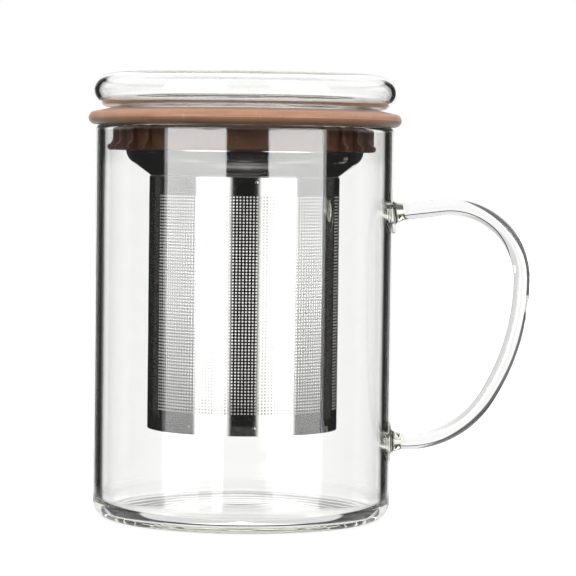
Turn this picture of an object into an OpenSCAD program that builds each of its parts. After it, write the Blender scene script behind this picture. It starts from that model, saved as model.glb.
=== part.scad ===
// Tea mug in clear glass with a rod handle, a soft ring in its mouth,
// a steel infuser hung in the ring and a hollow glass lid on top.
// Millimetres. The origin is on the mug's axis at table height, Z is up
// and the handle points along +X.

/* [Mug] */
// Outside diameter of the glass cup
mug_d = 80; // [72:1:92]
// Height of the cup from the table to its lip
mug_h = 105; // [96:1:130]
// Thickness of the glass wall
wall_t = 2.4; // [1.8:0.1:3.2]
// Thickness of the glass floor over its resting ring
floor_t = 3.2; // [2.4:0.1:5]
// Outside corner radius at the foot
foot_r = 4.4; // [3:0.1:7]
// Inside corner radius of the well
well_r = 3.4; // [2:0.1:6]
// Width of the flat ring that the mug rests on
rest_w = 3; // [2:0.5:6]
// Rise of the shallow dome under the floor
punt_rise = 1; // [0.4:0.1:1.6]

/* [Handle] */
// Diameter of the glass rod
rod_d = 4.4; // [3.4:0.1:6]
// From the wall to the middle of the rod at its widest
grip_room = 34.9; // [30:0.5:45]
// Depth of the upper root below the lip
upper_root = 22.7; // [18:0.5:30]
// Height of the lower root above the table
lower_root = 20.7; // [14:0.5:28]
// Rise of the rod as it leaves the upper root, in degrees
root_rise = 7; // [0:1:12]
// Radius of the upper bend
upper_bend = 19.3; // [14:0.5:24]
// Radius of the lower bend
lower_bend = 25.4; // [18:0.5:28]
// Lean of the grip where it meets the lower bend, in degrees
grip_lean = 32; // [24:1:45]
// Diameter of the pad of glass welded to the wall
pad_d = 11.2; // [9:0.2:14]
// Height over which the pad draws in to the neck
pad_t = 1.1; // [0.6:0.1:2]
// How much the neck stands proud of the rod all round
neck_swell = 0.5; // [0.2:0.1:1]
// Distance from the wall at which the root is down to the rod
root_l = 3; // [2.4:0.2:6]

/* [Soft ring] */
// Overhang of the ring beyond the mug's wall
ring_overhang = 2; // [1:0.2:4]
// Thickness of the ring's rounded edge
edge_t = 3.6; // [2.4:0.2:4]
// Height of the ring over the lip, up to the lid's seat
ring_h = 4.4; // [4.2:0.2:7]
// Depth of the plug below the ring
plug_depth = 6.8; // [5.6:0.2:10]
// Room between the plug's wall and the glass
plug_room = 3; // [2.6:0.1:3.8]
// Thickness of the plug's wall
plug_t = 2.4; // [1.6:0.1:3]
// Height of the infuser's ledge over the ring's underside
ledge_h = 1.6; // [1:0.1:2]
// Number of fins in each group
fin_count = 4; // [2:1:5]
// Angle from one fin to the next
fin_pitch = 9.3; // [7:0.1:11]
// Thickness of a fin
fin_t = 1.2; // [0.8:0.1:2]
// How far a fin's leg stands out of the plug
fin_leg = 1.3; // [0.8:0.1:1.6]
// Height of a fin's toe at its outer end
toe_t = 1.3; // [1:0.1:2]
// Gap between a fin's toe and the glass
toe_gap = 0.5; // [0.3:0.1:0.8]

/* [Infuser] */
// Thickness of the collar's sheet
collar_t = 0.5; // [0.3:0.05:0.8]
// Width of the flange that hangs in the ring
flange_w = 2; // [1.6:0.1:2.2]
// Length of the collar's straight wall under its flange
collar_l = 8.2; // [7:0.2:11]
// Radius of the collar's shoulder
shoulder_r = 4.5; // [3:0.1:5]
// Turn of the shoulder before its straight slope, in degrees
shoulder_turn = 55; // [45:1:65]
// Outside diameter of the perforated sleeve
sleeve_d = 51.2; // [44:0.2:54]
// Length of the sleeve
sleeve_l = 67.3; // [50:0.5:70]
// Thickness of the sleeve's sheet
sleeve_t = 0.4; // [0.3:0.05:0.6]
// Length of the collar's skirt inside the sleeve
skirt_l = 4; // [3:0.5:8]
// Height of the floor pan's turned-up edge
pan_lip = 3; // [2:0.5:6]

/* [Lid] */
// Overhang of the lid beyond the mug's wall
lid_overhang = 0.75; // [-1:0.25:1.5]
// Height of the lid at its rounded edge
lid_h = 9.2; // [7:0.2:10]
// Rise of the lid's crown over its edge
crown_rise = 0.8; // [0.4:0.1:1.6]
// Thickness of the lid's glass
lid_t = 1.5; // [1:0.1:2]
// Depth of the lid's neck under its seat
neck_l = 6; // [4:0.5:6]
// Thickness of the neck's glass
neck_t = 1.6; // [1.2:0.1:2.2]

/* [Clearances] */
// Gap between two pieces where one rests on the other
seat_gap = 0.1; // [0.05:0.05:0.3]
// Gap all round between the infuser's collar and the ring
collar_gap = 0.3; // [0.2:0.05:0.5]
// Gap all round between the infuser's flange and the ring
flange_gap = 0.5; // [0.3:0.05:0.6]
// Gap all round between the lid's neck and the collar
neck_gap = 0.6; // [0.4:0.1:1]

/* [Hidden] */
$fn = 96;
arc_steps = 8;

// Cup
mug_r = mug_d / 2;
bore_r = mug_r - wall_t;
punt_edge = mug_r - foot_r - rest_w;

// Handle: the rod leaves the wall, bends down, bows along the grip,
// bends back and runs level to the lower root
reach = mug_r + grip_room;
rod_r = rod_d / 2;
upper_z = mug_h - upper_root;
upper_cx = reach - upper_bend;
upper_run = (upper_cx - upper_bend * sin(root_rise) - mug_r) / cos(root_rise);
upper_cz = upper_z + upper_run * sin(root_rise) - upper_bend * cos(root_rise);
grip_bow = lower_bend + (upper_cz - lower_root - lower_bend) / sin(grip_lean);
grip_cx = reach - grip_bow;
lower_cx = grip_cx + (grip_bow - lower_bend) * cos(grip_lean);
lower_cz = lower_root + lower_bend;
root_sunk = 2;
neck_r = rod_r + neck_swell;
seam_h = 0.2;
seam_proud = 0.02;

// Soft ring
ring_z = mug_h + seat_gap;
ring_top = ring_z + ring_h;
ring_r = mug_r + ring_overhang;
edge_r = edge_t / 2;
edge_cx = ring_r - edge_r;
edge_cz = ring_z + edge_r;
plug_r = bore_r - plug_room;
plug_z = ring_z - plug_depth;
plug_bore = plug_r - plug_t;
ledge_z = ring_z + ledge_h;
ledge_cut = 0.7;
fin_groups = [-57, 50, 176.5];
fin_top_gap = 0.5;
toe_reach = plug_room - toe_gap;
toe_round = toe_t / 2;
flare_w = toe_reach - fin_leg;
flare_slack = 1.8;
flare_r = flare_slack * flare_w;
flare_drop = sqrt(flare_r * flare_r - pow(flare_r - flare_w, 2));
fin_root = plug_t / 2;

// Infuser
collar_r = plug_bore - collar_gap;
flange_z = ledge_z + seat_gap;
seat_r = collar_r + flange_w + flange_gap;
fold_r = collar_t + ledge_cut;
fold_c = [collar_r + fold_r - collar_t, flange_z + collar_t - fold_r];
shoulder_c = [collar_r - shoulder_r, flange_z - collar_l];
sleeve_r = sleeve_d / 2;
sleeve_bore = sleeve_r - sleeve_t;
skirt_top = slope_foot(0);
sleeve_top = skirt_top - seat_gap;
sleeve_z = sleeve_top - sleeve_l;
pan_corner = 1;

// Lid
lid_z = ring_top + seat_gap;
lid_edge_r = lid_h / 2;
lid_cx = mug_r + lid_overhang - lid_edge_r;
lid_bore_r = lid_edge_r - lid_t;
neck_out = collar_r - collar_t - neck_gap;
neck_in = neck_out - neck_t;
land_w = 0.8;
land_r = max(lid_cx, seat_r + land_w);

// Point on a circle of radius r at angle a
function polar(r, a) = [r * cos(a), r * sin(a)];

// Point where a line from point p touches the circle of radius r around c
function touch(c, r, p) =
    let (d = p - c)
    c + polar(r, atan2(d.y, d.x) - acos(r / norm(d)));

// Points along a circle of radius r around c, from angle a1 to a2
function arc(c, r, a1, a2) =
    [for (i = [0:arc_steps]) c + polar(r, a1 + (a2 - a1) * i / arc_steps)];

// List turned back to front
function reversed(list) = [for (i = [len(list) - 1:-1:0]) list[i]];

// Upright rectangle between two opposite corners
module span(x1, z1, x2, z2) {
    translate([x1, z1]) square([x2 - x1, z2 - z1]);
}

// Half section of a vessel of radius r from z1 to z2 with a rounded foot
module rounded_foot(r, z1, z2, corner) {
    span(0, z1 + corner, r, z2);
    span(0, z1, r - corner, z1 + corner);
    translate([r - corner, z1 + corner]) circle(corner);
}

// Low arch from the axis out to radius r, rising by h over height z
module arch(r, z, h) {
    bow_r = (r * r + h * h) / (2 * h);
    intersection() {
        translate([0, z + h - bow_r]) circle(bow_r, $fn = 720);
        span(0, z, r, z + h);
    }
}

module mug_section() {
    lip_r = wall_t / 2;
    difference() {
        rounded_foot(mug_r, 0, mug_h - lip_r, foot_r);
        rounded_foot(bore_r, floor_t, mug_h, well_r);
        arch(punt_edge, 0, punt_rise);
    }
    translate([mug_r - lip_r, mug_h - lip_r]) circle(lip_r);
}

// Blown cup with a fire-rounded lip and a shallow dome under its floor
module mug_body() {
    color([0.86, 0.92, 0.9, 0.35]) rotate_extrude() mug_section();
}

// Bent stretch of the rod about a centre in the XZ plane
module rod_bend(cx, cz, r, start, turn) {
    translate([cx, 0, cz])
        rotate([90, 0, 0])
            rotate(start)
                rotate_extrude(angle = turn)
                    translate([r, 0]) circle(rod_r);
}

// Straight root of the rod with its welded pad, along a direction given
// by its slope in degrees. The pad's edge is a quarter of an ellipse.
module rod_root(z, slope, run) {
    pad_r = pad_d / 2;
    flare = [for (i = [0:arc_steps])
        let (a = 90 * i / arc_steps)
        [pad_r - (pad_r - neck_r) * sin(a), pad_t * (1 - cos(a))]];
    translate([mug_r, 0, z]) rotate([0, 90 - slope, 0]) {
        translate([0, 0, -root_sunk]) cylinder(r = rod_r, h = run + root_sunk);
        rotate_extrude()
            polygon(concat([[0, -root_sunk], [pad_r, -root_sunk]], flare,
                           [[rod_r, root_l], [0, root_l]]));
    }
}

// Hair-thin band round the rod where a bend of radius r starts, at an
// angle about its centre, so that the two stretches fuse into one solid
module rod_seam(cx, cz, r, angle) {
    translate([cx, 0, cz])
        rotate([0, -angle, 0])
            translate([r, 0, -seam_h / 2])
                cylinder(r = rod_r + seam_proud, h = seam_h);
}

// Rod handle, trimmed to the wall that it is welded to
module mug_handle() {
    color([0.86, 0.92, 0.88, 0.5]) difference() {
        union() {
            rod_root(upper_z, root_rise, upper_run);
            rod_seam(upper_cx, upper_cz, upper_bend, 90 + root_rise);
            rod_bend(upper_cx, upper_cz, upper_bend, 0, 90 + root_rise);
            rod_seam(upper_cx, upper_cz, upper_bend, 0);
            rod_bend(grip_cx, upper_cz, grip_bow, -grip_lean, grip_lean);
            rod_seam(lower_cx, lower_cz, lower_bend, -grip_lean);
            rod_bend(lower_cx, lower_cz, lower_bend, -90, 90 - grip_lean);
            rod_seam(lower_cx, lower_cz, lower_bend, -90);
            rod_root(lower_root, 0, lower_cx - mug_r);
        }
        cylinder(r = mug_r, h = mug_h);
    }
}

// The ring's section: plug wall, underside, rounded edge, sloped top,
// seat for the lid and ledge for the infuser
module ring_section() {
    edge = [edge_cx, edge_cz];
    crest = [land_r, ring_top];
    polygon([[plug_bore, plug_z], [plug_r, plug_z], [plug_r, ring_z],
             [edge_cx, ring_z], edge, touch(edge, edge_r, crest),
             crest, [seat_r, ring_top], [seat_r, ledge_z],
             [plug_bore + ledge_cut, ledge_z], [plug_bore, ledge_z - ledge_cut]]);
    translate(edge) circle(edge_r);
}

// A fin's section: an upright leg over a foot that flares out to its toe
module fin_section() {
    leg_r = plug_r + fin_leg;
    toe_r = plug_r + toe_reach;
    flare_z = plug_z + toe_t + flare_drop;
    span(plug_r - fin_root, plug_z, leg_r, ring_z - fin_top_gap);
    difference() {
        union() {
            span(plug_r, plug_z, toe_r - toe_round, flare_z);
            span(plug_r, plug_z + toe_round, toe_r, flare_z);
            translate([toe_r - toe_round, plug_z + toe_round]) circle(toe_round);
        }
        translate([leg_r + flare_r, flare_z]) circle(flare_r);
    }
}

// One fin, turned to its angle from the front
module fin(angle) {
    rotate([90, 0, angle - 90])
        translate([0, 0, -fin_t / 2])
            linear_extrude(fin_t) fin_section();
}

// Soft ring moulded in one with its plug and three groups of fins
module silicone_ring() {
    first = -fin_pitch * (fin_count - 1) / 2;
    color([0.5, 0.29, 0.21]) {
        rotate_extrude() ring_section();
        for (group = fin_groups, i = [0:fin_count - 1])
            fin(group + first + i * fin_pitch);
    }
}

// Height at which the slope of the collar's face meets the skirt, for the
// face at depth t in the sheet
function slope_foot(t) =
    let (p = shoulder_c + polar(shoulder_r - t, -shoulder_turn))
    p.y - (p.x - sleeve_bore + t) / tan(shoulder_turn);

// One face of the collar's sheet, at depth t: flange, fold, straight wall,
// shoulder, slope and skirt
function collar_face(t) = concat(
    [[collar_r + flange_w, flange_z + t]],
    arc(fold_c, fold_r - collar_t + t, 90, 180),
    arc(shoulder_c, shoulder_r - t, 0, -shoulder_turn),
    [[sleeve_bore - t, slope_foot(t)], [sleeve_bore - t, skirt_top - skirt_l]]);

// Drawn steel collar: flange, funnel shoulder and skirt in one sheet
module infuser_collar() {
    color("silver") rotate_extrude()
        polygon(concat(collar_face(0), reversed(collar_face(collar_t))));
}

// Rolled steel sleeve that holds the tea. Its fine holes are left out here.
module infuser_sleeve() {
    color([0.72, 0.73, 0.75])
        rotate_extrude() span(sleeve_bore, sleeve_z, sleeve_r, sleeve_top);
}

// One face of the floor pan's sheet, at depth t: floor, corner and edge
function pan_face(t) = concat(
    [[0, sleeve_z + t]],
    arc([sleeve_bore - pan_corner, sleeve_z + pan_corner], pan_corner - t, -90, 0),
    [[sleeve_bore - t, sleeve_z + pan_lip]]);

// Pan pressed into the sleeve's lower end
module infuser_floor() {
    color([0.66, 0.67, 0.69]) rotate_extrude()
        polygon(concat(pan_face(0), reversed(pan_face(sleeve_t))));
}

// Section of a slab with a full round edge and an arched top
module slab_section(cx, cz, r) {
    span(0, cz - r, cx, cz + r);
    translate([cx, cz]) circle(r);
    arch(cx, cz + r, crown_rise);
}

// Hollow lid blown in one with the short open neck under it
module lid_glass() {
    cz = lid_z + lid_edge_r;
    color([0.88, 0.93, 0.93, 0.35]) rotate_extrude() difference() {
        union() {
            slab_section(lid_cx, cz, lid_edge_r);
            span(0, lid_z - neck_l, neck_out, lid_z);
        }
        slab_section(lid_cx, cz, lid_bore_r);
        span(0, lid_z - neck_l, neck_in, cz);
    }
}

mug_body();
mug_handle();
silicone_ring();
infuser_collar();
infuser_sleeve();
infuser_floor();
lid_glass();
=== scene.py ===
from math import acos, asin, atan2, cos, degrees, exp, hypot, pi, radians, sin, sqrt, tan

import bmesh
import bpy
from mathutils import Matrix


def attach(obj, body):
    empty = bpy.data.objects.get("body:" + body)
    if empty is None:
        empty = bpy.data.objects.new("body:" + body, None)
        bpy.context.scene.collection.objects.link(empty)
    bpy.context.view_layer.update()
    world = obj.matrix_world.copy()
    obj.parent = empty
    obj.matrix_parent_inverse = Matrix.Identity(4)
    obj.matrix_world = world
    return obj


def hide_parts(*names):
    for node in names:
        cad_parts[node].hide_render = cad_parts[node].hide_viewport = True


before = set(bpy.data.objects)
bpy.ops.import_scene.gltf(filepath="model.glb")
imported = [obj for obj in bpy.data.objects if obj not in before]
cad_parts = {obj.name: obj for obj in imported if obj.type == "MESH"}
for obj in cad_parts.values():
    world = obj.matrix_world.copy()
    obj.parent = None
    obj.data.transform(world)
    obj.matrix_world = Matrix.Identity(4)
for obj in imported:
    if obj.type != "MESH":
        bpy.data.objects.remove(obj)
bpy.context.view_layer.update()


# The camera stands level with the mug's mouth, 0.7 m in front of it, behind
# a long lens, and leans a little, as when the object was photographed.
eye_place = (0.012, -0.716, 0.0955)
eye_pitch = 87.3
eye_lean = 0.7
eye = bpy.data.objects.new("eye", bpy.data.cameras.new("eye"))
eye.data.sensor_width = 36
eye.data.lens = 166.4
eye.matrix_world = (
    Matrix.Translation(eye_place)
    @ Matrix.Rotation(radians(eye_pitch), 4, "X")
    @ Matrix.Rotation(radians(eye_lean), 4, "Z")
)
bpy.context.scene.collection.objects.link(eye)
bpy.context.scene.camera = eye
bpy.context.scene.view_settings.view_transform = "Standard"
# Light is thrown to and fro many times inside the lid's thin glass.
bpy.context.scene.cycles.max_bounces = 80
bpy.context.scene.cycles.glossy_bounces = 72
bpy.context.scene.cycles.transmission_bounces = 16


# The cup is blown in clear glass and ground flat nowhere: one even wall, a
# lip rounded in the fire, a soft heavy foot, and a shallow dome under the
# floor. The mould leaves faint rings in the floor of the well.
cup_radius = 40.0
cup_height = 105.0
cup_wall = 2.4
cup_floor = 2.5
foot_corner = 4.4
well_corner = 3.4
foot_rest = 3.0
dome_rise = 1.0
mould_ring = 0.012
near_arc = 0.3
glass_colour = (0.997, 1.0, 0.997, 1.0)
weld_colour = (0.90, 0.93, 0.80, 1.0)
weld_reach = (3.5, 5.5)
depth_colour = (0.75, 0.78, 0.60, 1)
depth_density = 11.0


def bend(centre, radius, start, end, step=5.0):
    """Points on a circle, from one angle to another in degrees."""
    count = max(2, round(abs(end - start) / step))
    turns = [radians(start + (end - start) * i / count) for i in range(count + 1)]
    return [(centre[0] + radius * cos(a), centre[1] + radius * sin(a)) for a in turns]


def run(first, last, count):
    """Points on the straight line between two points, both ends left out."""
    steps = [i / (count + 1) for i in range(1, count + 1)]
    return [tuple(p + (q - p) * s for p, q in zip(first, last)) for s in steps]


def solid(name, points, faces):
    """An object from points in millimetres, smooth but for its hard edges."""
    mesh = bpy.data.meshes.new(name)
    mesh.from_pydata([[c / 1000 for c in p] for p in points], [], faces)
    thing = bpy.data.objects.new(name, mesh)
    bpy.context.scene.collection.objects.link(thing)
    smooth(thing)
    return thing


def smooth(thing, hard=35):
    """Shades an object smooth and keeps the edges over an angle hard."""
    thing.data.polygons.foreach_set("use_smooth", [True] * len(thing.data.polygons))
    thing.data.set_sharp_from_angle(angle=radians(hard))
    thing.data.update()


def turned(name, section, count):
    """A solid turned on the mug's axis from its half section, which runs
    with the solid on its left. A point on the axis becomes one pole."""
    points, rows, faces = [], [], []
    for radius, height in section:
        around = count if radius > 1e-6 else 1
        rows.append([len(points) + j for j in range(around)])
        for j in range(around):
            a = 2 * pi * j / count
            points.append((radius * sin(a), -radius * cos(a), height))
    pairs = list(zip(rows, rows[1:]))
    if len(rows[0]) > 1:
        pairs.append((rows[-1], rows[0]))
    for low, high in pairs:
        for j in range(count):
            ring = [low[j % len(low)], low[(j + 1) % len(low)]]
            ring += [high[(j + 1) % len(high)], high[j % len(high)]]
            corners = [p for i, p in enumerate(ring) if p not in ring[:i]]
            if len(corners) > 2:
                faces.append(corners)
    return solid(name, points, faces)


def dome(radius, height, rise, count=14):
    """Points of a low arch from its edge to the axis."""
    bow = (radius ** 2 + rise ** 2) / (2 * rise)
    reaches = [radius * (1 - i / count) for i in range(count + 1)]
    return [(r, height + rise - bow + sqrt(bow ** 2 - r ** 2)) for r in reaches]


class Wire:
    """An output of a node. Sums on wires add Math nodes to its tree."""

    def __init__(self, tree, node=None, output=0):
        self.tree = tree
        self.node = node
        self.output = output

    def add(self, kind, settings=(), sockets=(), output=0):
        """Adds a node with its settings, then sets or links its sockets."""
        node = self.tree.nodes.new(kind)
        for key, value in dict(settings).items():
            setattr(node, key, value)
        for key, value in dict(sockets).items():
            if isinstance(value, Wire):
                self.tree.links.new(value.node.outputs[value.output], node.inputs[key])
            else:
                node.inputs[key].default_value = value
        return Wire(self.tree, node, output)

    def out(self, output):
        """Another output of the same node."""
        return Wire(self.tree, self.node, output)

    def maths(self, operation, *values):
        return self.add("ShaderNodeMath", {"operation": operation}, enumerate(values))

    def __add__(self, other):
        return self.maths("ADD", self, other)

    __radd__ = __add__

    def __sub__(self, other):
        return self.maths("SUBTRACT", self, other)

    def __rsub__(self, other):
        return self.maths("SUBTRACT", other, self)

    def __mul__(self, other):
        return self.maths("MULTIPLY", self, other)

    __rmul__ = __mul__

    def __truediv__(self, other):
        return self.maths("DIVIDE", self, other)

    def __rtruediv__(self, other):
        return self.maths("DIVIDE", other, self)

    def __gt__(self, other):
        return self.maths("GREATER_THAN", self, other)

    def __lt__(self, other):
        return self.maths("LESS_THAN", self, other)

    def ramp(self, low, high):
        """0 up to low, 1 from high on, and a soft rise between them."""
        return self.add(
            "ShaderNodeMapRange", {"interpolation_type": "SMOOTHSTEP"},
            {"Value": self, "From Min": low, "From Max": high})

    def band(self, low, high, blur):
        """1 between low and high, with soft ends."""
        return self.ramp(low - blur, low + blur) - self.ramp(high - blur, high + blur)

    def blend(self, first, second):
        """A colour that goes from first to second as the wire goes to 1."""
        return self.add(
            "ShaderNodeMix", {"data_type": "RGBA"},
            {"Factor": self, 6: first, 7: second}, 2)

    def away(self, point):
        """Distance of the wire's place from a point in millimetres."""
        spot = [c / 1000 for c in point]
        return 1000 * self.add(
            "ShaderNodeVectorMath", {"operation": "DISTANCE"}, {0: self, 1: spot}, "Value")

    def stretched(self, scale):
        """The wire's place, stretched for a pattern."""
        return self.add("ShaderNodeMapping", {}, {"Vector": self, "Scale": scale})

    def noise(self, scale, detail=2.0):
        return self.add("ShaderNodeTexNoise", {}, {"Vector": self, "Scale": scale, "Detail": detail})


def finish_of(name):
    """A new finish: its material, its shader and the place on the piece."""
    material = bpy.data.materials.new(name)
    material.use_nodes = True
    shader = material.node_tree.nodes["Principled BSDF"]
    place = Wire(material.node_tree).add("ShaderNodeTexCoord", output="Object")
    return material, shader, place


def feed(shader, **sockets):
    """Links wires to a shader, and sets the rest of its sockets. A name's
    underscores stand for spaces."""
    for key, value in sockets.items():
        socket = shader.inputs[key.replace("_", " ")]
        if isinstance(value, Wire):
            value.tree.links.new(value.node.outputs[value.output], socket)
        else:
            socket.default_value = value


def blown_glass(name, welds=()):
    """Clear glass: a touch of green in its depth and round the welds on the
    wall, at their heights, and a skin that waves a little from the heat."""
    material, shader, place = finish_of(name)
    tint = glass_colour
    if welds:
        weld = sum(1 - place.away((cup_radius, 0, height)).ramp(*weld_reach) for height in welds)
        tint = weld.blend(glass_colour, weld_colour)
    ripple = place.stretched((1, 1, 0.35)).noise(70)
    skin = ripple.add(
        "ShaderNodeBump", {}, {"Strength": 0.6, "Distance": 0.00004, "Height": ripple})
    feed(shader, Base_Color=tint, Normal=skin, Roughness=0.0, IOR=1.47, Transmission_Weight=1.0)
    tree = material.node_tree
    depth = place.add(
        "ShaderNodeVolumeAbsorption", {}, {"Color": depth_colour, "Density": depth_density})
    tree.links.new(depth.node.outputs[0], tree.nodes["Material Output"].inputs["Volume"])
    return material


bore_radius = cup_radius - cup_wall
lip = cup_wall / 2
foot_centre = (cup_radius - foot_corner, foot_corner)
well_centre = (bore_radius - well_corner, cup_floor + well_corner)
wall_foot = (cup_radius, foot_corner)
wall_top = (cup_radius, cup_height - lip)
well_edge = well_centre[0]
well_floor = [
    (r, cup_floor + mould_ring * sin(r * 1.15) * min(1, r / 8) * min(1, (well_edge - r) / 6))
    for r in [well_edge * (1 - i / 60) for i in range(1, 60)]
]
# A point close to each arc keeps the shading of the long wall even.
cup_section = (
    dome(cup_radius - foot_corner - foot_rest, 0, dome_rise)[::-1]
    + bend(foot_centre, foot_corner, -90, 0)
    + [(cup_radius, foot_corner + near_arc)]
    + run(wall_foot, wall_top, 26)
    + [(cup_radius, cup_height - lip - near_arc)]
    + bend((cup_radius - lip, cup_height - lip), lip, 0, 180, 9)
    + [(bore_radius, cup_height - lip - near_arc)]
    + run((bore_radius, cup_height - lip), (bore_radius, well_centre[1]), 26)
    + [(bore_radius, well_centre[1] + near_arc)]
    + bend(well_centre, well_corner, 0, -90)
    + well_floor
    + [(0, cup_floor)]
)
cup = turned("cup", cup_section, 384)


# The handle is a solid glass rod, bent in the flame and welded to the wall
# while soft. Each root spreads into a round pad with a wavy edge. The weld
# makes it one with the cup, so the two are joined into one glass body here.
rod_radius = 2.2
upper_root = 82.3
lower_root = 20.7
root_rise = 7.0
upper_bend = ((55.6, 64.77), 19.3)
grip_bend = ((14.27, 64.77), 60.63)
lower_bend = ((44.15, 46.1), 25.4)
grip_lean = 32.0
pad_radius = 5.6
pad_height = 1.1
neck_radius = 2.7
root_length = 3.0
root_depth = 1.7
pad_wave = 0.07


def recipe(name, **inputs):
    """A new Geometry Nodes tree with named inputs. It gives the first wire."""
    tree = bpy.data.node_groups.new(name, "GeometryNodeTree")
    tree.interface.new_socket("Geometry", in_out="OUTPUT", socket_type="NodeSocketGeometry")
    tree.interface.new_socket("Geometry", in_out="INPUT", socket_type="NodeSocketGeometry")
    for label, kind in inputs.items():
        tree.interface.new_socket(
            label.replace("_", " "), in_out="INPUT", socket_type="NodeSocket" + kind)
    return Wire(tree).add("NodeGroupInput", output="Geometry")


def ended(start, result):
    """Ends a recipe: its copies become one mesh, which takes the finish."""
    start.tree.interface.new_socket("Finish", in_out="INPUT", socket_type="NodeSocketMaterial")
    whole = start.add("GeometryNodeRealizeInstances", {}, {"Geometry": result})
    dressed = start.add(
        "GeometryNodeSetMaterial", {}, {"Geometry": whole, "Material": start.out("Finish")})
    start.add("NodeGroupOutput", {}, {"Geometry": dressed})
    return start.tree


def grow(name, tree, base, finish, **sizes):
    """Runs a recipe on a base with its sizes. It gives an object with the
    plain mesh that comes out."""
    holder = bpy.data.objects.new(name + "_recipe", base)
    bpy.context.scene.collection.objects.link(holder)
    modifier = holder.modifiers.new("recipe", "NODES")
    modifier.node_group = tree
    sizes["Finish"] = finish
    for item in tree.interface.items_tree:
        if item.in_out == "INPUT" and item.name.replace(" ", "_") in sizes:
            modifier[item.identifier] = sizes[item.name.replace(" ", "_")]
    graph = bpy.context.evaluated_depsgraph_get()
    mesh = bpy.data.meshes.new_from_object(holder.evaluated_get(graph), depsgraph=graph)
    bpy.data.objects.remove(holder)
    mesh.materials.clear()
    mesh.materials.append(finish)
    thing = bpy.data.objects.new(name, mesh)
    bpy.context.scene.collection.objects.link(thing)
    smooth(thing)
    return thing


def joined(name, whole, part):
    """One closed solid from two that cross each other."""
    cutter = whole.modifiers.new("join", "BOOLEAN")
    cutter.operation = "UNION"
    cutter.solver = "EXACT"
    cutter.object = part
    graph = bpy.context.evaluated_depsgraph_get()
    mesh = bpy.data.meshes.new_from_object(whole.evaluated_get(graph), depsgraph=graph)
    bpy.data.objects.remove(whole)
    bpy.data.objects.remove(part)
    knit = bmesh.new()
    knit.from_mesh(mesh)
    bmesh.ops.remove_doubles(knit, verts=knit.verts, dist=0.000002)
    knit.to_mesh(mesh)
    knit.free()
    thing = bpy.data.objects.new(name, mesh)
    bpy.context.scene.collection.objects.link(thing)
    smooth(thing)
    return thing


def girth(reach):
    """The rod's radius at a distance from the wall."""
    if reach <= 0:
        return pad_radius
    if reach < pad_height:
        return pad_radius - (pad_radius - neck_radius) * sin(acos(1 - reach / pad_height))
    fall = min(1, (reach - pad_height) / (root_length - pad_height))
    return neck_radius + (rod_radius - neck_radius) * fall * fall * (3 - 2 * fall)


root_steps = [-root_depth, -0.8] + [pad_height * (i / 10) ** 2 for i in range(11)]
root_steps += [1.4, 1.7, 2.0, 2.3, 2.6, 3.0, 4.0, 5.5]
slope = radians(root_rise)
upper_run = [(cup_radius + s * cos(slope), upper_root + s * sin(slope)) for s in root_steps]
lower_steps = [s for s in root_steps if cup_radius + s < lower_bend[0][0] - 0.1]
lower_run = [(cup_radius + s, lower_root) for s in lower_steps]
middle = (
    bend(*upper_bend, 90 + root_rise, 0, 2.5)
    + bend(*grip_bend, 0, -grip_lean, 1.2)[1:]
    + bend(*lower_bend, -grip_lean, -90, 2)[1:]
)
route = upper_run + middle + lower_run[::-1]
girths = [girth(s) for s in root_steps] + [rod_radius] * len(middle)
girths += [girth(s) for s in lower_steps[::-1]]
rod_line = bpy.data.meshes.new("rod_line")
rod_line.from_pydata(
    [(x / 1000, 0, z / 1000) for x, z in route], [(i, i + 1) for i in range(len(route) - 1)], [])
rod_line.attributes.new("girth", "FLOAT", "POINT").data.foreach_set("value", girths)

start = recipe("rod", Sides="Int", Wave="Float")
line = start.add("GeometryNodeMeshToCurve", {}, {"Mesh": start})
round_face = start.add(
    "GeometryNodeCurvePrimitiveCircle", {}, {"Resolution": start.out("Sides"), "Radius": 0.001})
thickness = start.add(
    "GeometryNodeInputNamedAttribute", {"data_type": "FLOAT"}, {"Name": "girth"}, "Attribute")
rod_skin = start.add(
    "GeometryNodeCurveToMesh", {},
    {"Curve": line, "Profile Curve": round_face, "Scale": thickness, "Fill Caps": True})
where = start.add("GeometryNodeInputPosition")
radial = start.add("GeometryNodeInputNormal")
swell = where.noise(160, 1.0) - 0.5
near_pad = thickness.ramp(rod_radius + 0.1, pad_radius)
lift = swell * near_pad * start.out("Wave")
push = start.add("ShaderNodeVectorMath", {"operation": "SCALE"}, {0: radial, "Scale": lift})
worked = start.add("GeometryNodeSetPosition", {}, {"Geometry": rod_skin, "Offset": push})
clear_glass = blown_glass("clear_glass", [upper_root, lower_root])
rod = grow("rod", ended(start, worked), rod_line, clear_glass, Sides=72, Wave=2 * pad_wave / 1000)
cup.data.materials.append(clear_glass)
mug_glass = joined("mug_glass", cup, rod)
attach(mug_glass, "mug")
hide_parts("mug_body", "mug_handle")


# The ring is moulded in brown silicone: a fat rounded edge that lies on the
# cup's lip, a plug below it and three groups of four soft fins that centre
# it in the cup. A fine seam of the mould runs round the edge.
plug_bore = 32.2
plug_radius = 34.6
plug_low = 98.3
ring_low = 105.1
ring_high = 109.5
edge_centre = (40.2, 106.9)
edge_radius = 1.795
seat_radius = 34.4
ledge = 106.7
land = 36.15
seam_proud = 0.05
fin_groups = [-57, 50, 176.5]
fin_pitch = 9.3
fin_width = 1.2
fin_leg = 35.9
fin_toe = 37.1
fin_high = 104.6
fin_root = 1.2
fin_crown = 0.4


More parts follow.
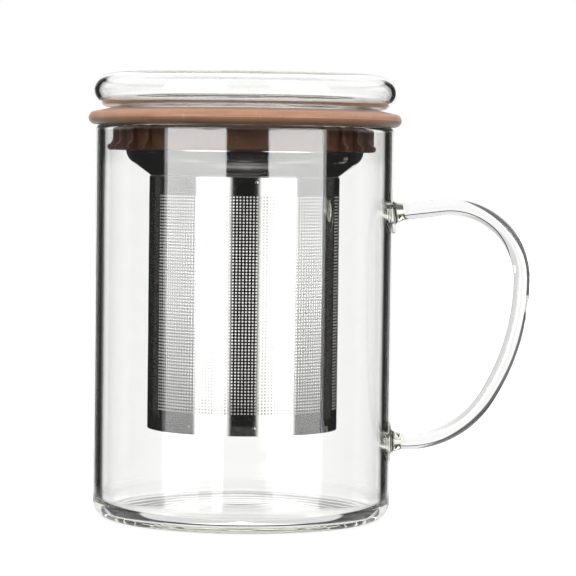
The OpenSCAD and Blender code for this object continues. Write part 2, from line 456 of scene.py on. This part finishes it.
def eased(corners, step=15):
    """A section with its corners rounded. Each corner is a radius, a height
    and how far it is rounded."""
    section = []
    for i, (x, y, round_by) in enumerate(corners):
        if not round_by:
            section.append((x, y))
            continue
        before = corners[i - 1]
        after = corners[(i + 1) % len(corners)]
        ends = []
        for other in (before, after):
            far = hypot(other[0] - x, other[1] - y)
            ends.append(((other[0] - x) / far, (other[1] - y) / far))
        opening = acos(ends[0][0] * ends[1][0] + ends[0][1] * ends[1][1])
        back = round_by / tan(opening / 2)
        bisector = (ends[0][0] + ends[1][0], ends[0][1] + ends[1][1])
        out = round_by / sin(opening / 2) / hypot(*bisector)
        centre = (x + bisector[0] * out, y + bisector[1] * out)
        first = (x + ends[0][0] * back, y + ends[0][1] * back)
        last = (x + ends[1][0] * back, y + ends[1][1] * back)
        a = degrees(atan2(first[1] - centre[1], first[0] - centre[0]))
        b = degrees(atan2(last[1] - centre[1], last[0] - centre[0]))
        b = a + (b - a + 180) % 360 - 180
        section += bend(centre, round_by, a, b, step)
    return section


crest_side = hypot(land - edge_centre[0], ring_high - edge_centre[1])
crest_angle = degrees(atan2(ring_high - edge_centre[1], land - edge_centre[0]))
edge_end = crest_angle - degrees(acos(edge_radius / crest_side))
ring_edge = []
for i in range(86):
    a = -90 + (edge_end + 90) * i / 85
    r = edge_radius - seam_proud + seam_proud * exp(-((a / 2.2) ** 2))
    ring_edge.append((edge_centre[0] + r * cos(radians(a)), edge_centre[1] + r * sin(radians(a)), 0))
ring_section = eased(
    [(plug_bore, plug_low, 0.35), (plug_radius, plug_low, 0.5), (plug_radius, ring_low, 0.6)]
    + ring_edge
    + [(land, ring_high, 0.7), (seat_radius, ring_high, 0.3), (seat_radius, ledge, 0.3),
       (plug_bore + 0.7, ledge, 0.3), (plug_bore, ledge - 0.7, 0.3)])
ring_body = turned("ring_body", ring_section, 288)

toe_round = 0.65
flare_width = fin_toe - fin_leg
flare = 1.8 * flare_width
flare_drop = sqrt(flare ** 2 - (flare - flare_width) ** 2)
flare_high = plug_low + 2 * toe_round + flare_drop
fin_outline = (
    [(plug_radius - fin_root, plug_low)]
    + bend((fin_toe - toe_round, plug_low + toe_round), toe_round, -90, 0, 15)
    + bend((fin_leg + flare, flare_high), flare, -180 - degrees(asin(-flare_drop / flare)), -180, 8)
    + bend((fin_leg - fin_crown, fin_high - fin_crown), fin_crown, 0, 90, 15)
    + [(plug_radius - fin_root, fin_high)]
)
fin_sides = [(-1, 0.12), (-0.8, 0.03), (-0.6, 0), (0.6, 0), (0.8, 0.03), (1, 0.12)]
fin_points, fin_faces = [], []
span = len(fin_outline)
for side, shrink in fin_sides:
    for x, z in fin_outline:
        inset = shrink if x > plug_radius else 0
        fin_points.append((x - inset, side * fin_width / 2, z + (inset if z < plug_low + 0.1 else 0)))
for k in range(len(fin_sides) - 1):
    for i in range(span):
        j = (i + 1) % span
        fin_faces.append((k * span + j, k * span + i, (k + 1) * span + i, (k + 1) * span + j))
fin_faces.append(tuple(range(span)))
fin_faces.append(tuple(range(len(fin_points) - 1, len(fin_points) - span - 1, -1)))
fin = solid("fin", fin_points, fin_faces)


def brown_silicone():
    """Matt moulded silicone: even brown, a dry bloom of dust in its pores and a
    painted highlight along the seam of the mould, as a paler band of colour."""
    material, shader, place = finish_of("brown_silicone")
    cloud = place.noise(180, 3.0)
    grain = place.noise(5200, 2.0)
    split = place.add("ShaderNodeSeparateXYZ", {}, {"Vector": place})
    height = split.out("Z") * 1000
    # The paler band round the mould's seam is a painted highlight.
    seam_highlight_band = height.band(106.84, 106.96, 0.05)
    specks = place.noise(900, 1.0).ramp(0.66, 0.74)
    body = cloud.ramp(0.3, 0.75).blend((0.31, 0.145, 0.072, 1), (0.365, 0.178, 0.092, 1))
    # Pale specks of dust, and the painted highlight along the seam.
    dust_and_seam_highlight = (specks * 0.25 + seam_highlight_band * 0.35).blend(body, (0.62, 0.44, 0.34, 1))
    height_map = grain * 0.35 + cloud * 0.2
    pores = grain.add(
        "ShaderNodeBump", {}, {"Strength": 0.35, "Distance": 0.00005, "Height": height_map})
    feed(shader, Base_Color=dust_and_seam_highlight, Normal=pores, Roughness=0.36 + cloud * 0.12)
    feed(shader, Sheen_Weight=0.35, Sheen_Roughness=0.3, Specular_IOR_Level=0.5)
    return material


group_points = bpy.data.meshes.new("fin_groups")
group_points.from_pydata([(0, 0, 0)] * len(fin_groups), [], [])
facings = [radians(a) for a in fin_groups]
group_points.attributes.new("facing", "FLOAT", "POINT").data.foreach_set("value", facings)

start = recipe("fins", Fin="Object", Fins_in_a_group="Int", Pitch="Float")
shape = start.add(
    "GeometryNodeObjectInfo", {}, {"Object": start.out("Fin"), "As Instance": True}, "Geometry")
copies = start.add(
    "GeometryNodeDuplicateElements", {"domain": "POINT"},
    {"Geometry": start, "Amount": start.out("Fins in a group")})
facing = start.add(
    "GeometryNodeInputNamedAttribute", {"data_type": "FLOAT"}, {"Name": "facing"}, "Attribute")
middle_fin = (start.out("Fins in a group") - 1) * 0.5
angle = facing + (copies.out("Duplicate Index") - middle_fin) * start.out("Pitch") - pi / 2
turn = start.add("ShaderNodeCombineXYZ", {}, {"Z": angle})
fins = start.add(
    "GeometryNodeInstanceOnPoints", {},
    {"Points": copies, "Instance": shape, "Rotation": turn})
silicone = brown_silicone()
fin_set = grow(
    "fin_set", ended(start, fins), group_points, silicone,
    Fin=fin, Fins_in_a_group=4, Pitch=radians(fin_pitch))
bpy.data.objects.remove(fin)
ring_body.data.materials.append(silicone)
soft_ring = joined("soft_ring", ring_body, fin_set)
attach(soft_ring, "ring")
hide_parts("silicone_ring")


# The collar is drawn from thin stainless sheet and polished: a flange that
# lies on the ring's ledge, a straight wall, a round shoulder and a funnel
# that narrows to the skirt inside the sleeve.
sheet = 0.5
collar_radius = 31.9
flange_radius = 33.9
flange_low = 106.8
fold_centre = (32.6, 106.1)
fold_radius = 0.7
shoulder_centre = (27.4, 98.6)
shoulder_radius = 4.5
shoulder_turn = 55.0
skirt_radius = 25.2
skirt_low = 87.57


def collar_face(depth):
    """One face of the collar's sheet, at a depth in it."""
    foot = shoulder_radius - depth
    side = radians(shoulder_turn)
    bottom = (shoulder_centre[0] + foot * cos(side), shoulder_centre[1] - foot * sin(side))
    drop = (bottom[0] - skirt_radius + depth) / tan(side)
    return (
        [(flange_radius, flange_low + depth)]
        + bend(fold_centre, fold_radius + depth, 90, 180, 10)
        + run((collar_radius - depth, 106.1), (collar_radius - depth, 98.6), 4)
        + bend(shoulder_centre, foot, 0, -shoulder_turn, 5)
        + bend((skirt_radius - depth + 0.9, bottom[1] - drop - 0.42), 0.9, 145, 180, 7)
        + run((skirt_radius - depth, bottom[1] - drop - 0.6), (skirt_radius - depth, skirt_low), 3)
        + [(skirt_radius - depth, skirt_low)])


def polished_steel(name, colour, gloss, dull_within=0.0):
    """Bright stainless sheet: faint rolling streaks up and down it, a little
    uneven polish, and soft waves from the press. Within a radius it is left
    dull, as inside a sleeve that no wheel reaches."""
    material, shader, place = finish_of(name)
    streaks = place.stretched((1, 1, 0.02)).noise(1500, 3.0)
    cloud = place.noise(55, 2.0)
    dark = tuple(c * 0.93 for c in colour) + (1.0,)
    tone = streaks.ramp(0.3, 0.7).blend(dark, tuple(colour) + (1.0,))
    wave = place.stretched((1, 1, 0.5)).noise(45, 1.0)
    skin = wave.add(
        "ShaderNodeBump", {}, {"Strength": 0.5, "Distance": 0.00006, "Height": wave})
    level_place = place.stretched((1, 1, 0))
    dull = level_place.away((0, 0, 0)) < dull_within
    rough = gloss + (streaks - 0.5) * 0.02 + cloud.ramp(0.45, 0.8) * 0.015 + dull * 0.5
    feed(shader, Base_Color=tone, Metallic=1 - dull * 0.7, Normal=skin, Roughness=rough)
    return material


bright_steel = polished_steel("polished_steel", (0.72, 0.71, 0.70), 0.03)
collar = turned("collar", collar_face(sheet) + collar_face(0)[::-1], 288)
collar.data.materials.append(bright_steel)
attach(collar, "infuser")
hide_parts("infuser_collar")


# The sleeve is rolled from thinner stainless sheet, with a plain band at
# each end and plain strips between three panels of etched holes. Small spot
# welds fix it to the collar's skirt above and to the floor pan below.
sleeve_radius = 25.6
sleeve_sheet = 0.4
sleeve_low = 24.17
sleeve_high = 91.47
hole_row = 0.828
hole_rows = 69
hole_column = 1.94
hole_radius = 0.26
etched_sheet = 0.12
panel_low = 29.65
panels = [("sleeve_front", -58.5, 58), ("sleeve_right", 69.0, 50), ("sleeve_left", 183.0, 50)]
weld_rows = [26.1, 90.1]
welds_around = 9
weld_first = 8.0
weld_radius = 0.45
weld_proud = 0.05
weld_sides = 16

panel_high = panel_low + hole_row * hole_rows
turns = []
windows = []
for first, last in zip(panels, panels[1:] + [("", panels[0][1] + 360, 0)]):
    end = first[1] + first[2] * hole_column
    windows += [True] * first[2]
    turns += [first[1] + hole_column * i for i in range(first[2])]
    strip = max(1, round((last[1] - end) / hole_column))
    windows += [False] * strip
    turns += [end + (last[1] - end) * i / strip for i in range(strip)]
heights = [sleeve_low, 25.7, 27.4, panel_low]
heights += [panel_low + hole_row * 3 * i for i in range(1, hole_rows // 3)]
heights += [panel_high, 87.5, 89.5, sleeve_high]
shell_points = [
    (r * sin(radians(a)), -r * cos(radians(a)), z)
    for r in (sleeve_radius, sleeve_radius - sleeve_sheet) for z in heights for a in turns]
around = len(turns)
inner = around * len(heights)


def plain(i, j):
    """Whether the sheet is plain between two heights and two turns."""
    if i < 0 or i >= len(heights) - 1:
        return False
    inside = panel_low - 0.01 < heights[i] and heights[i + 1] < panel_high + 0.01
    return not (inside and windows[j % around])


shell_faces = []
for i in range(len(heights) - 1):
    for j in range(around):
        if not plain(i, j):
            continue
        k = (j + 1) % around
        a, b, c, d = i * around + j, i * around + k, (i + 1) * around + k, (i + 1) * around + j
        shell_faces.append((a, b, c, d))
        shell_faces.append((inner + d, inner + c, inner + b, inner + a))
        if not plain(i - 1, j):
            shell_faces.append((b, a, inner + a, inner + b))
        if not plain(i + 1, j):
            shell_faces.append((d, c, inner + c, inner + d))
        if not plain(i, j - 1):
            shell_faces.append((a, d, inner + d, inner + a))
        if not plain(i, j + 1):
            shell_faces.append((c, b, inner + b, inner + c))
shell = solid("shell", shell_points, shell_faces)
loose = bmesh.new()
loose.from_mesh(shell.data)
bmesh.ops.delete(loose, geom=[v for v in loose.verts if not v.link_faces], context="VERTS")
loose.to_mesh(shell.data)
loose.free()
smooth(shell)

pip_section = [(0.9 * weld_radius, -0.2)] + [
    (weld_radius * cos(radians(a)), weld_proud * sin(radians(a))) for a in (0, 30, 60)]
pip_points, pip_faces = [(0, 0, -0.2)], []
for r, h in pip_section:
    pip_turns = [2 * pi * k / weld_sides for k in range(weld_sides)]
    pip_points += [(r * cos(a), r * sin(a), h) for a in pip_turns]
pip_points.append((0, 0, weld_proud))
for k in range(weld_sides):
    m = (k + 1) % weld_sides
    pip_faces.append((0, 1 + m, 1 + k))
    for q in range(len(pip_section) - 1):
        low = 1 + weld_sides * q
        high = low + weld_sides
        pip_faces.append((low + k, low + m, high + m, high + k))
    pip_faces.append((high + k, high + m, len(pip_points) - 1))
pip = solid("pip", pip_points, pip_faces)
row_points = bpy.data.meshes.new("weld_rows")
row_points.from_pydata([(0, 0, z / 1000) for z in weld_rows], [], [])
perforated_steel = polished_steel("perforated_steel", (0.72, 0.71, 0.70), 0.03, 25.5)

start = recipe("spot_welds", Weld="Object", Welds_around="Int", First="Float", Radius="Float")
shape = start.add(
    "GeometryNodeObjectInfo", {}, {"Object": start.out("Weld"), "As Instance": True}, "Geometry")
copies = start.add(
    "GeometryNodeDuplicateElements", {"domain": "POINT"},
    {"Geometry": start, "Amount": start.out("Welds around")})
angle = start.out("First") + copies.out("Duplicate Index") * (2 * pi / start.out("Welds around"))
across = angle.maths("SINE", angle) * start.out("Radius")
ahead = angle.maths("COSINE", angle) * start.out("Radius") * -1
spot = start.add("ShaderNodeCombineXYZ", {}, {"X": across, "Y": ahead})
placed = start.add("GeometryNodeSetPosition", {}, {"Geometry": copies, "Offset": spot})
turn = start.add("ShaderNodeCombineXYZ", {}, {"X": pi / 2, "Z": angle})
pips = start.add(
    "GeometryNodeInstanceOnPoints", {}, {"Points": placed, "Instance": shape, "Rotation": turn})
weld_set = grow(
    "weld_set", ended(start, pips), row_points, perforated_steel,
    Weld=pip, Welds_around=welds_around, First=radians(weld_first), Radius=sleeve_radius / 1000)
bpy.data.objects.remove(pip)
shell.data.materials.append(perforated_steel)
sleeve_shell = joined("sleeve_shell", shell, weld_set)
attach(sleeve_shell, "infuser")
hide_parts("infuser_sleeve")


def hole_cell(name, width, height, depth, radius):
    """A patch of sheet with one round hole through it, its face at zero."""
    wide, high = width / 2, height / 2
    corners = [(wide, high), (-wide, high), (-wide, -high), (wide, -high)]
    rim = [(radius * cos(radians(22.5 + 45 * k)), radius * sin(radians(22.5 + 45 * k)))
           for k in range(8)]
    points = [(x, y, z) for z in (0, -depth) for x, y in corners + rim]
    faces = []
    for k in range(4):
        a, b = k, (k + 1) % 4
        p, q, r = 4 + 2 * k, 4 + (2 * k + 1) % 8, 4 + (2 * k + 2) % 8
        top = [(a, q, p), (a, b, r, q)]
        faces += top + [tuple(12 + v for v in face[::-1]) for face in top]
    for k in range(8):
        p, q = 4 + k, 4 + (k + 1) % 8
        faces.append((p, q, 12 + q, 12 + p))
    return solid(name, points, faces)


def closed(thing):
    """Walls in the outer edge of a perforated sheet."""
    work = bmesh.new()
    work.from_mesh(thing.data)
    rims = [e for e in work.edges if len(e.link_faces) == 1]
    bmesh.ops.bridge_loops(work, edges=rims)
    bmesh.ops.recalc_face_normals(work, faces=work.faces)
    work.to_mesh(thing.data)
    work.free()
    smooth(thing)


start = recipe("etched_panel", Cell="Object", Columns="Int", Rows="Int", Column="Float",
               Row="Float", Radius="Float", Middle="Float", Height="Float")
cell = start.add(
    "GeometryNodeObjectInfo", {}, {"Object": start.out("Cell"), "As Instance": True}, "Geometry")
grid = start.add(
    "GeometryNodeMeshGrid", {},
    {"Size X": (start.out("Columns") - 1) * start.out("Column"),
     "Size Y": (start.out("Rows") - 1) * start.out("Row"),
     "Vertices X": start.out("Columns"), "Vertices Y": start.out("Rows")})
cells = start.add("GeometryNodeInstanceOnPoints", {}, {"Points": grid, "Instance": cell})
flat = start.add("GeometryNodeRealizeInstances", {}, {"Geometry": cells})
knit = start.add("GeometryNodeMergeByDistance", {}, {"Geometry": flat, "Distance": 0.00001})
where = start.add("GeometryNodeInputPosition")
split = where.add("ShaderNodeSeparateXYZ", {}, {"Vector": where})
angle = split.out("X") / start.out("Radius") + start.out("Middle")
reach = start.out("Radius") + split.out("Z")
across = angle.maths("SINE", angle) * reach
ahead = angle.maths("COSINE", angle) * reach * -1
wrapped = start.add(
    "ShaderNodeCombineXYZ", {},
    {"X": across, "Y": ahead, "Z": split.out("Y") + start.out("Height")})
panel = start.add("GeometryNodeSetPosition", {}, {"Geometry": knit, "Position": wrapped})
column_width = radians(hole_column) * sleeve_radius
cell_shape = hole_cell("cell", column_width, hole_row, etched_sheet, hole_radius)
etched_panel = ended(start, panel)
for name, first, columns in panels:
    piece = grow(
        name, etched_panel, bpy.data.meshes.new(name + "_blank"), perforated_steel,
        Cell=cell_shape, Columns=columns, Rows=hole_rows, Column=column_width / 1000,
        Row=hole_row / 1000, Radius=sleeve_radius / 1000,
        Middle=radians(first + columns * hole_column / 2),
        Height=(panel_low + panel_high) / 2000)
    closed(piece)
    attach(piece, "infuser")
    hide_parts("infuser_sleeve")
bpy.data.objects.remove(cell_shape)


# The floor pan is pressed from the sleeve's sheet: a turned-up edge inside
# the sleeve, a plain rim and a round field of the same holes in the middle.
pan_radius = 25.2
pan_lip = 3.0
pan_corner = 1.0
field_radius = 22.3
rim_proud = 0.02


def pan_face(depth):
    """One face of the pan's rim and edge, at a depth in the sheet."""
    centre = (pan_radius - pan_corner, sleeve_low + pan_corner)
    return (
        [(field_radius - 0.7, sleeve_low + depth)]
        + bend(centre, pan_corner - depth, -90, 0, 15)
        + [(pan_radius - depth, sleeve_low + pan_lip)])


pan = turned("pan", pan_face(0) + pan_face(sleeve_sheet)[::-1], 192)
start = recipe("etched_disc", Cell="Object", Pitch="Float", Radius="Float", Height="Float")
cell = start.add(
    "GeometryNodeObjectInfo", {}, {"Object": start.out("Cell"), "As Instance": True}, "Geometry")
side = start.maths("CEIL", start.out("Radius") / start.out("Pitch")) * 2 + 1
grid = start.add(
    "GeometryNodeMeshGrid", {},
    {"Size X": (side - 1) * start.out("Pitch"), "Size Y": (side - 1) * start.out("Pitch"),
     "Vertices X": side, "Vertices Y": side})
where = start.add("GeometryNodeInputPosition")
far = start.add("ShaderNodeVectorMath", {"operation": "LENGTH"}, {0: where}, "Value")
cells = start.add(
    "GeometryNodeInstanceOnPoints", {},
    {"Points": grid, "Instance": cell, "Selection": far < start.out("Radius")})
flat = start.add("GeometryNodeRealizeInstances", {}, {"Geometry": cells})
knit = start.add("GeometryNodeMergeByDistance", {}, {"Geometry": flat, "Distance": 0.00001})
rise = start.add("ShaderNodeCombineXYZ", {}, {"Z": start.out("Height")})
disc = start.add("GeometryNodeSetPosition", {}, {"Geometry": knit, "Offset": rise})
sheet_cell = hole_cell("sheet_cell", hole_row, hole_row, sleeve_sheet - 2 * rim_proud, hole_radius)
pan_steel = polished_steel("pan_steel", (0.52, 0.51, 0.50), 0.10, 25.1)
field = grow(
    "field", ended(start, disc), bpy.data.meshes.new("field_blank"), pan_steel,
    Cell=sheet_cell, Pitch=hole_row / 1000, Radius=field_radius / 1000,
    Height=(sleeve_low + sleeve_sheet - rim_proud) / 1000)
bpy.data.objects.remove(sheet_cell)
closed(field)
pan.data.materials.append(pan_steel)
with bpy.context.temp_override(
        active_object=pan, selected_editable_objects=[pan, field]):
    bpy.ops.object.join()
pan.name = "floor_pan"
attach(pan, "infuser")
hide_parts("infuser_floor")


# The lid is blown in clear glass as one hollow cushion with a full round
# edge and a low crown. Its short open neck, rounded in the fire, drops into
# the infuser's collar, and its flat underside lies on the ring.
lid_low = 109.6
lid_edge_centre = (36.15, 114.2)
lid_edge = 4.6
lid_wall = 1.5
crown = 0.8
neck_outer = 30.8
neck_inner = 29.2
neck_low = 103.6

lid_bore = lid_edge - lid_wall
lid_section = (
    dome(lid_edge_centre[0], lid_edge_centre[1] + lid_bore, crown, 20)[::-1][:-1]
    + bend(lid_edge_centre, lid_bore, 90, -90, 6)
    + eased([(lid_edge_centre[0] - 1, lid_low + lid_wall, 0),
             (neck_inner, lid_low + lid_wall, 0.9), (neck_inner, neck_low, 0.78),
             (neck_outer, neck_low, 0.78), (neck_outer, lid_low, 1.0),
             (lid_edge_centre[0] - 1, lid_low, 0)], 15)
    + bend(lid_edge_centre, lid_edge, -90, 90, 5)
    + dome(lid_edge_centre[0], lid_edge_centre[1] + lid_edge, crown, 20)[1:]
)
lid_glass_finish = blown_glass("lid_glass")
lid = turned("glass_lid", lid_section, 320)
lid.data.materials.append(lid_glass_finish)
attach(lid, "lid")
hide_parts("lid_glass")


# The table is plain white, and a small matt share of it keeps the mug's
# shadow. What the glass and the steel mirror of it is weaker and ends close
# to the foot, and beyond that they mirror the room.
table_reach = 3.0
table_near = 50.0
table_far = 100.0
table_matt = 0.22
table_base = 0.05
table_glow = 0.8
table_mirrored = 0.65
glass_sees = (28.0, 31.0)
two_walls = 3.5

plate = bpy.data.meshes.new("table")
plate.from_pydata(
    [(table_reach * x, table_reach * y, 0) for x, y in ((-1, -1), (1, -1), (1, 1), (-1, 1))],
    [], [(0, 1, 2, 3)])
table = bpy.data.objects.new("table", plate)
bpy.context.scene.collection.objects.link(table)
white = bpy.data.materials.new("white_table")
white.use_nodes = True
white.node_tree.nodes.clear()
place = Wire(white.node_tree).add("ShaderNodeTexCoord", output="Object")
path = place.add("ShaderNodeLightPath")
straight = 1 - (path.out("Glossy Depth") > 0.5)
unscattered = 1 - (path.out("Diffuse Depth") > 0.5)
steel = path.out("Transmission Depth") > two_walls
bright = straight + (1 - straight) * (1 - steel) * table_mirrored
level = table_base + unscattered * bright * table_glow
kept = place.add("ShaderNodeBsdfDiffuse", {}, {"Color": (table_matt, table_matt, table_matt, 1)})
glow = place.add("ShaderNodeEmission", {}, {"Strength": level})
top = place.add("ShaderNodeAddShader", {}, {0: kept, 1: glow})
clear = place.add("ShaderNodeBsdfTransparent")
from_foot = place.away((0, 0, 0))
beneath = 1 - from_foot.ramp(*glass_sees)
glassy = path.out("Transmission Depth") > 0.5
near = 1 - from_foot.ramp(table_near, table_far)
near = near + (1 - straight) * glassy * (beneath - near)
shown = near.maths("MAXIMUM", near, path.out("Is Camera Ray"))
surface = place.add("ShaderNodeMixShader", {}, {0: shown, 1: clear, 2: top})
place.add("ShaderNodeOutputMaterial", {}, {"Surface": surface})
white.cycles.emission_sampling = "NONE"
plate.materials.append(white)


# The room has two tall soft boxes in front, a white backdrop behind the
# mug, a soft light overhead and dark between them. The camera sees it all as
# white, and so does clear glass that is looked through.
left_box = (-62.5, -13.5)
right_box = (19.5, 65.5)
steel_left_box = (-57.0, -15.0)
steel_right_box = (19.0, 65.0)
box_low = -12.0
box_high = 35.0
box_foot = 0.35
wall_slot = (-10.0, 1.6)
left_notch = (-33.0, -22.0)
right_notch = (13.0, 26.0)
notch_top = (-0.6, -0.4)
overhead_from = (18.0, 22.0)
table_from = (-13.0, -11.0)
backdrop_gap = (-44.0, -15.0)
rod_gap = (-174.5, -95.0)
rod_gap_bend = (10.0, 69.0)
rod_gap_level = (-11.0, 6.0)

skin_box = 6.0
wall_box = 13.0
steel_box = 1.7
skin_side = 0.7
wall_side = 0.6
backdrop = 0.95
ceiling = 0.7
ceiling_behind = 0.25
front_haze = 0.7
skin_table = 0.5
wall_table = 0.7
left_light = 1.0
right_light = 0.9
overhead_light = 2.35
side_light = 0.22
table_light = 0.06
glass_loss = 0.5
seen_through = 1.1
rod_gap_dark = 0.88
rod_side_dark = 0.24
dark = 0.02

room = bpy.data.worlds.new("room")
bpy.context.scene.world = room
room.use_nodes = True
room.node_tree.nodes.clear()

# A direction is a turn from the front round the mug's axis, to the right and
# to the left, and a rise from level, both in degrees.
toward = Wire(room.node_tree).add("ShaderNodeTexCoord", output="Generated")
split = toward.add("ShaderNodeSeparateXYZ", {}, {"Vector": toward})
turn = toward.maths("ARCTAN2", split.out("X"), 0 - split.out("Y")) * (180 / pi)
rise = toward.maths("ARCSINE", split.out("Z")) * (180 / pi)
wide = toward.maths("ABSOLUTE", turn)
box_span = rise.band(box_low, box_high, 1.0)
tall = box_span * (box_foot + (1 - box_foot) * rise.ramp(-7, 0))
left = turn.band(*left_box, 1.0) * tall
right = turn.band(*right_box, 1.0) * tall
back = wide.ramp(159, 161)
level_view = rise.band(-12, 16, 1.0)
above = rise.ramp(*overhead_from)
below = 1 - rise.ramp(*table_from)

# The faces of glass that light has crossed tell the outer skin of the glass,
# its inner wall and the steel behind two walls apart. In the photograph's
# studio each mirrors the boxes at its own level and over its own stretch.
path = toward.add("ShaderNodeLightPath")
crossed = path.out("Transmission Depth")
skin = crossed < 0.5
steel = crossed > two_walls
wall = (1 - skin) * (1 - steel)
notches = turn.band(*left_notch, 1.0) + turn.band(*right_notch, 1.0)
slot = rise.band(*wall_slot, 0.4) * (1 - (1 - rise.ramp(*notch_top)) * notches)
steel_boxes = turn.band(*steel_left_box, 3.5) + turn.band(*steel_right_box, 3.5)
boxes = (left + right) * (skin * skin_box + wall * slot * wall_box)
boxes = boxes + steel * steel_box * box_span * steel_boxes
flags = rise.band(-16, 60, 2.0)
sides = level_view * (skin * wide.ramp(90, 110) * skin_side + wall * wide.ramp(96, 104) * wall_side)
sides = sides * (1 - wide.ramp(136, 142) * flags) * (1 - rise.band(0, 1.2, 0.2) * 0.85)
sweep = (skin * back + (1 - skin) * wide.ramp(164, 166)) * backdrop
sweep = sweep * (1 - rise.band(*backdrop_gap, 1.0) * (1 - skin))
overhead = above * (ceiling + wide.ramp(80, 100) * ceiling_behind)
under = skin * below * skin_table + wall * (1 - rise.ramp(-46, -43)) * wall_table
haze = (1 - steel) * rise.ramp(2, 6) * (1 - wide.ramp(130, 136)) * front_haze
mirrored = dark + boxes + sides + sweep + overhead + under + haze

# Matt surfaces are lit by the same room at a plain level.
lit = dark + left * left_light + right * right_light + back * level_view
lit = lit + above * overhead_light + below * table_light
lit = lit + turn.band(75, 160, 5) * level_view * side_light
lit = lit * (1 - (1 - skin) * glass_loss)

# Seen straight through glass the room is white, but for a dark gap on the
# left, which draws the outer edge of the rod, and greyer bands by it.
bent = toward.maths("ARCCOSINE", split.out("Y")) * (180 / pi)
near_level = rise.band(*rod_gap_level, 1.5) * (1 - bent.ramp(21, 24))
left_gap = turn.band(*rod_gap, 1.5) * bent.band(*rod_gap_bend, 1.5) * (1 - near_level)
top_gap = rise.band(15, 20, 0.8)
right_side = turn.band(60, 165, 2.0) * rod_side_dark
rod_view = (1 - left_gap * rod_gap_dark) * (1 - top_gap) * (1 - right_side) * (1 - above * 0.2)
through = steel * seen_through + (1 - steel) * rod_view

bounced = path.out("Glossy Depth") > 0.5
scattered = path.out("Diffuse Depth") > 0.5
clean = path.out("Is Transmission Ray") * (1 - bounced) * (1 - scattered)
gleam = bounced * (1 - scattered)
seen = clean * through + (1 - clean) * (gleam * mirrored + (1 - gleam) * lit)
camera_ray = path.out("Is Camera Ray")
level = camera_ray + (1 - camera_ray) * seen
tone = above.blend((1, 1, 1, 1), (0.97, 0.96, 1.0, 1))
light = toward.add("ShaderNodeBackground", {}, {"Color": tone, "Strength": level})
toward.add("ShaderNodeOutputWorld", {}, {"Surface": light})


# Soft daylight that comes in at the sleeve's back shows white in its holes.
# Three small lamps near the axis stand in for it, since light is hard to
# follow through two glass walls and thousands of holes.
inner_light = 0.013
lamp_heights = (43.0, 59.0, 76.0)
lamp_aside = 5.0
lamp_radius = 8.0
for height in lamp_heights:
    lamp = bpy.data.objects.new("inner_lamp", bpy.data.lights.new("inner_lamp", "POINT"))
    lamp.data.energy = inner_light
    lamp.data.shadow_soft_size = lamp_radius / 1000
    lamp.location = (lamp_aside / 1000, 0, height / 1000)
    lamp.visible_camera = False
    lamp.visible_glossy = False
    lamp.visible_transmission = False
    bpy.context.scene.collection.objects.link(lamp)
